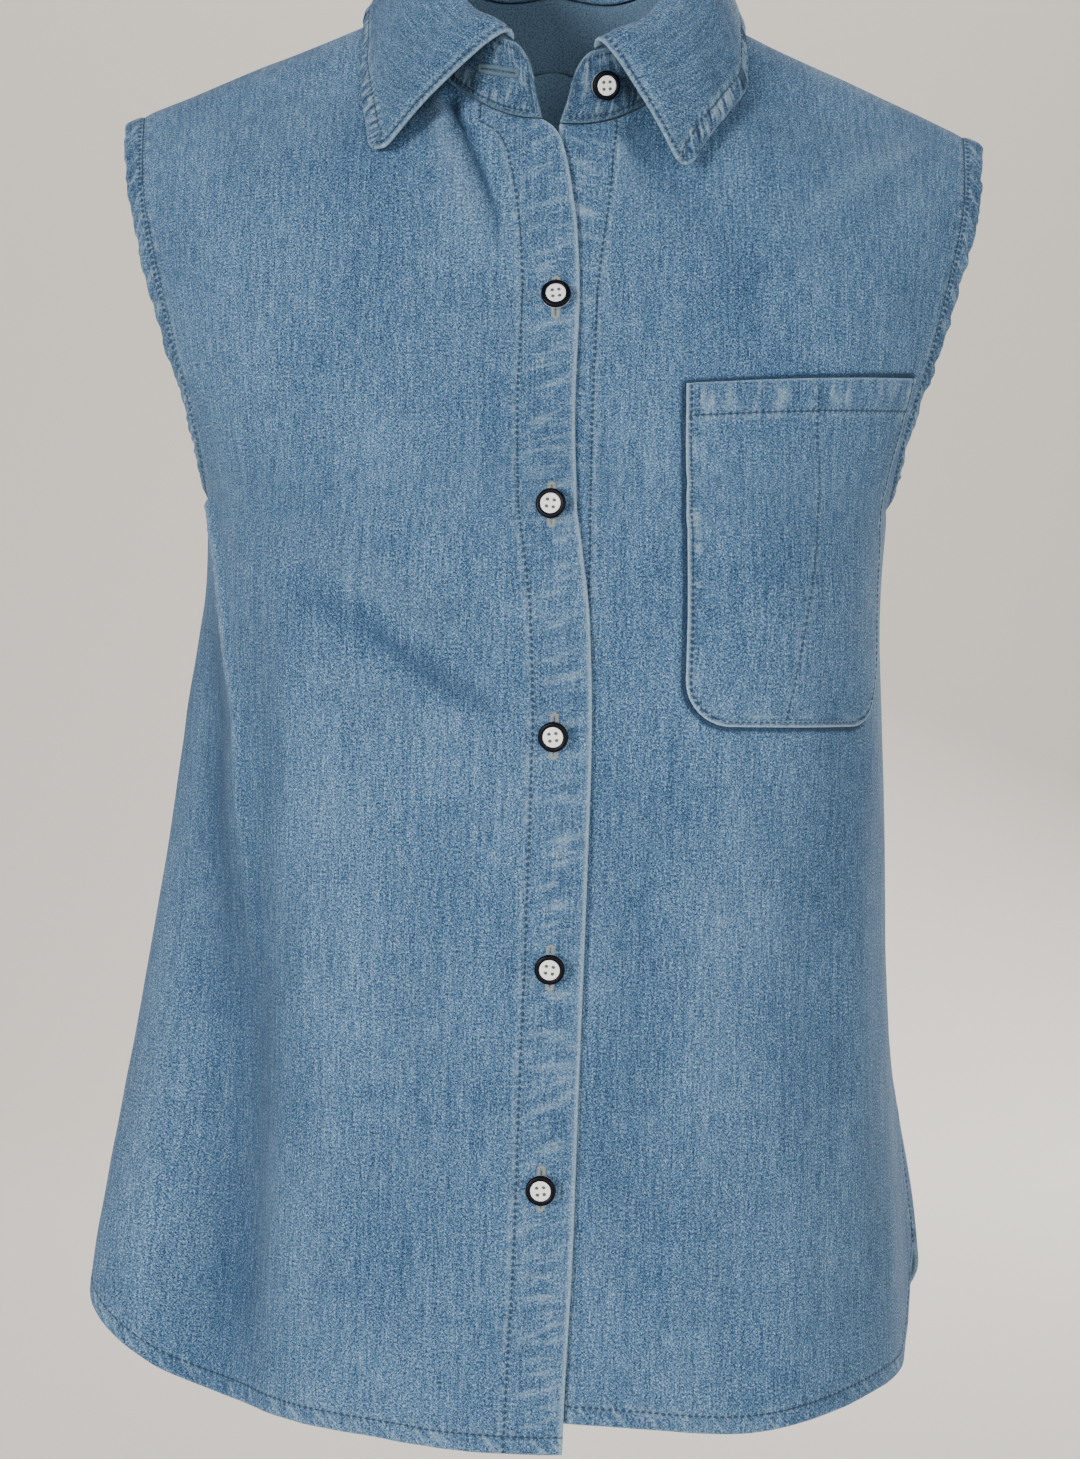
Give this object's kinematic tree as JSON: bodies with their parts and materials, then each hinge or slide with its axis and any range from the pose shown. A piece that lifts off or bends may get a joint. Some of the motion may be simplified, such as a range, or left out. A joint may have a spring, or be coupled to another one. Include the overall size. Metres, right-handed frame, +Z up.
{
  "type": "sleeveless denim button-up shirt vest",
  "caption": "Sleeveless denim shirt with a shaped collar on a stand, a buttoned front placket, one chest pocket, bound armholes and a curved hem, kept in its worn form.",
  "frame": {"origin": "on the wearer's middle line, 11 mm below the two neck points, inside the neck opening", "axes": "+Z up, -Y the front of the garment, +X the wearer's left"},
  "size_m": [0.3949, 0.2487, 0.6679],
  "materials": {
    "denim": "matte washed denim with a fine twill",
    "buttons": "glossy white with a dark rim"
  },
  "bodies": {
    "root": {"front_right": "denim", "front_left": "denim", "back": "denim", "collar_stand": "denim", "collar": "denim", "armhole_binding_right": "denim", "armhole_binding_left": "denim", "pocket": "denim", "button_1": "buttons", "button_2": "buttons", "button_3": "buttons", "button_4": "buttons", "button_5": "buttons", "button_collar": "buttons"}
  },
  "joints": []
}
